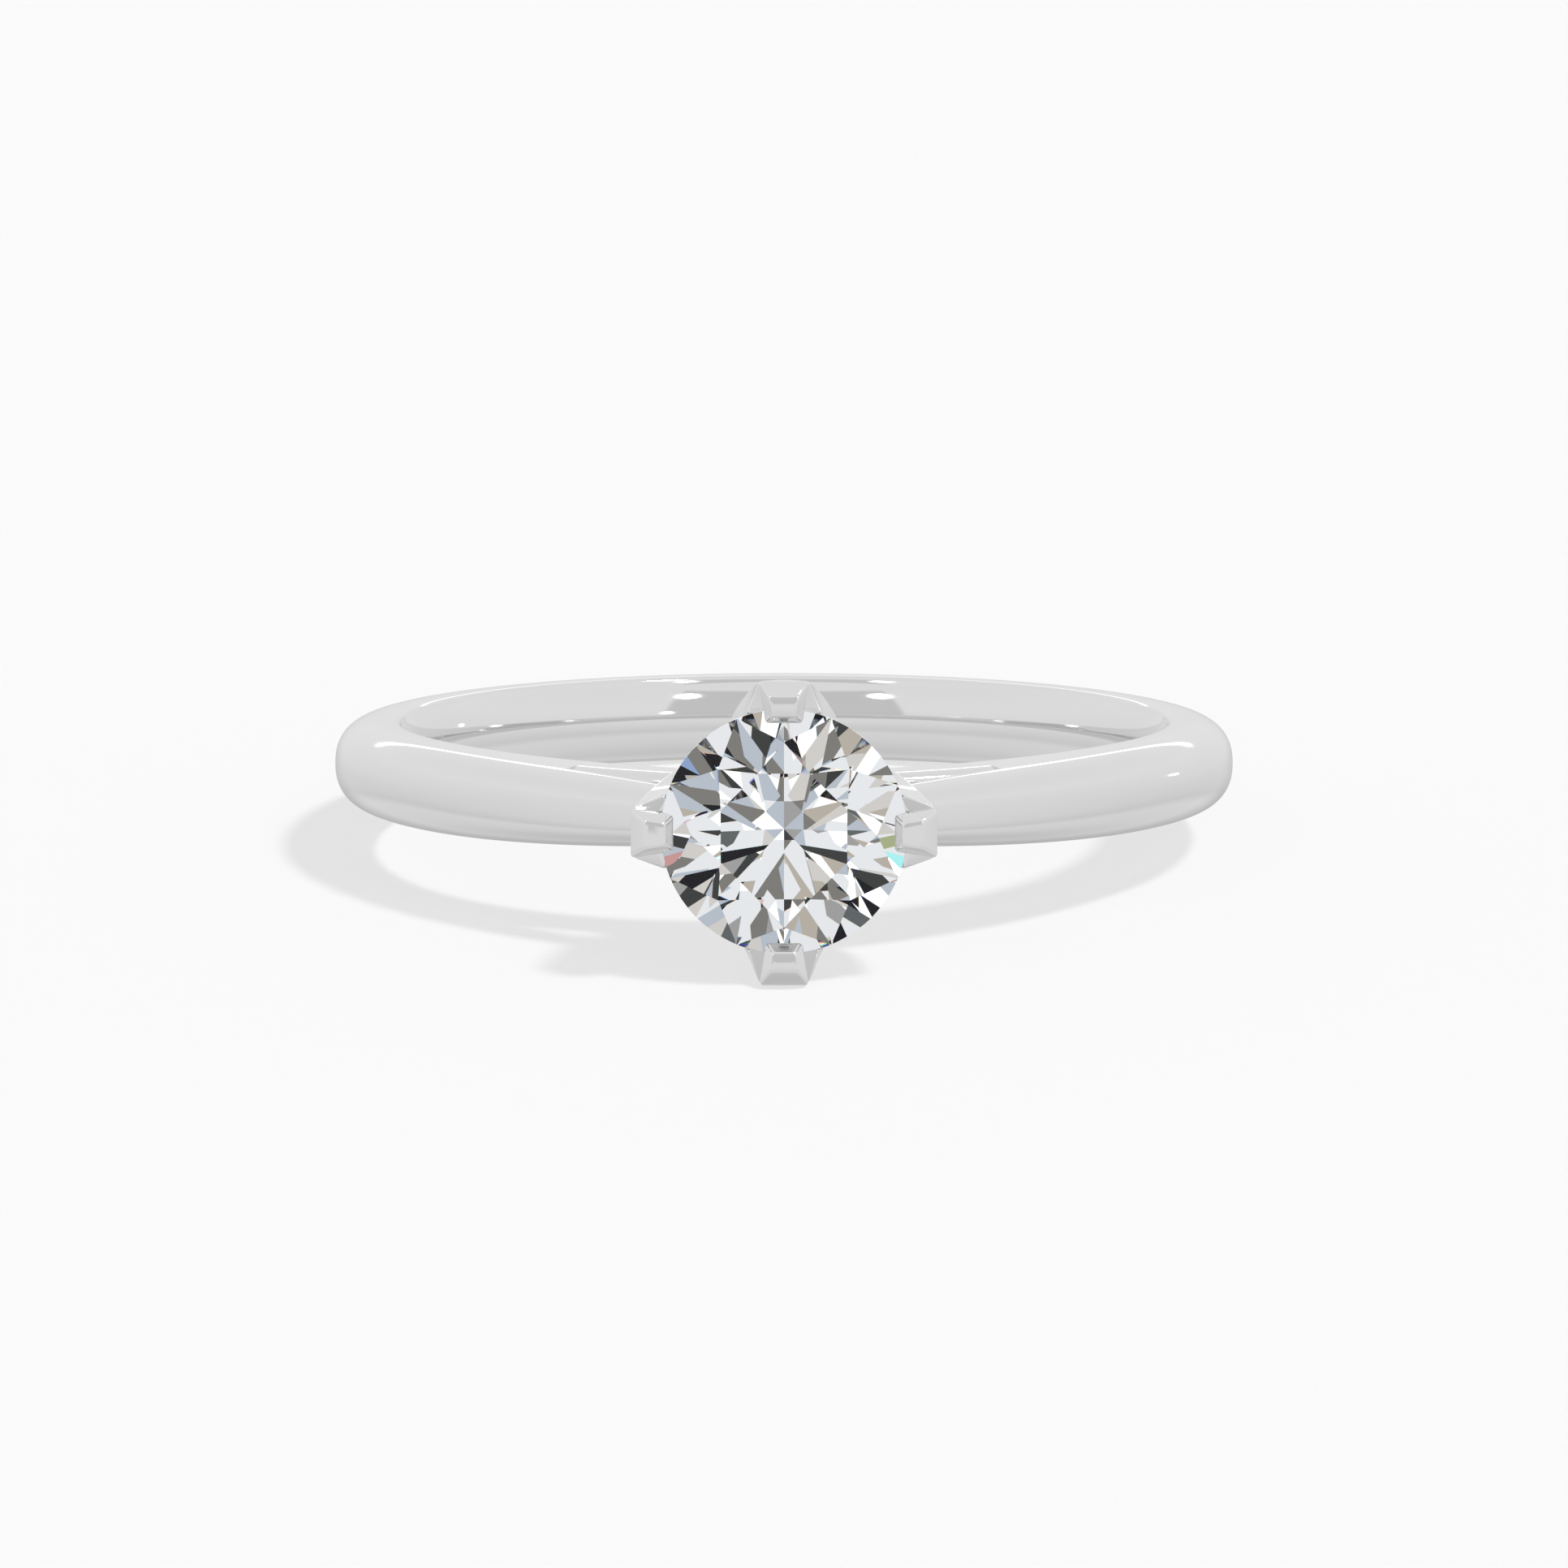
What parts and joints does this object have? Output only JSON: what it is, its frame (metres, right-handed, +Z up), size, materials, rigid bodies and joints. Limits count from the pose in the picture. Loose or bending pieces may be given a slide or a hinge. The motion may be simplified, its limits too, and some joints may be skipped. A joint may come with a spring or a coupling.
{
  "type": "engagement ring",
  "caption": "Cathedral solitaire engagement ring: a slim domed white-metal band whose shoulders rise to a claw-set tulip head holding a round brilliant diamond.",
  "frame": {"origin": "on the table under the middle of the ring's box, as the ring lies on its south claw and the back of its band", "axes": "+Z up from the table, stone facing -Y, +X to the right as the stone is faced; the finger axis leans 6.04 degrees from +Z towards +Y"},
  "size_m": [0.0192, 0.0226, 0.0062],
  "materials": {
    "band_metal": "mirror-polished white gold",
    "head_metal": "mirror-polished white gold",
    "diamond": "faceted and polished, colourless"
  },
  "bodies": {
    "root": {"shank": "band_metal", "shoulder_right": "band_metal", "shoulder_left": "band_metal", "bridge": "band_metal", "base_collet": "head_metal", "head_peg": "head_metal", "claw_north": "head_metal", "claw_west": "head_metal", "claw_south": "head_metal", "claw_east": "head_metal", "diamond": "diamond"}
  },
  "joints": []
}
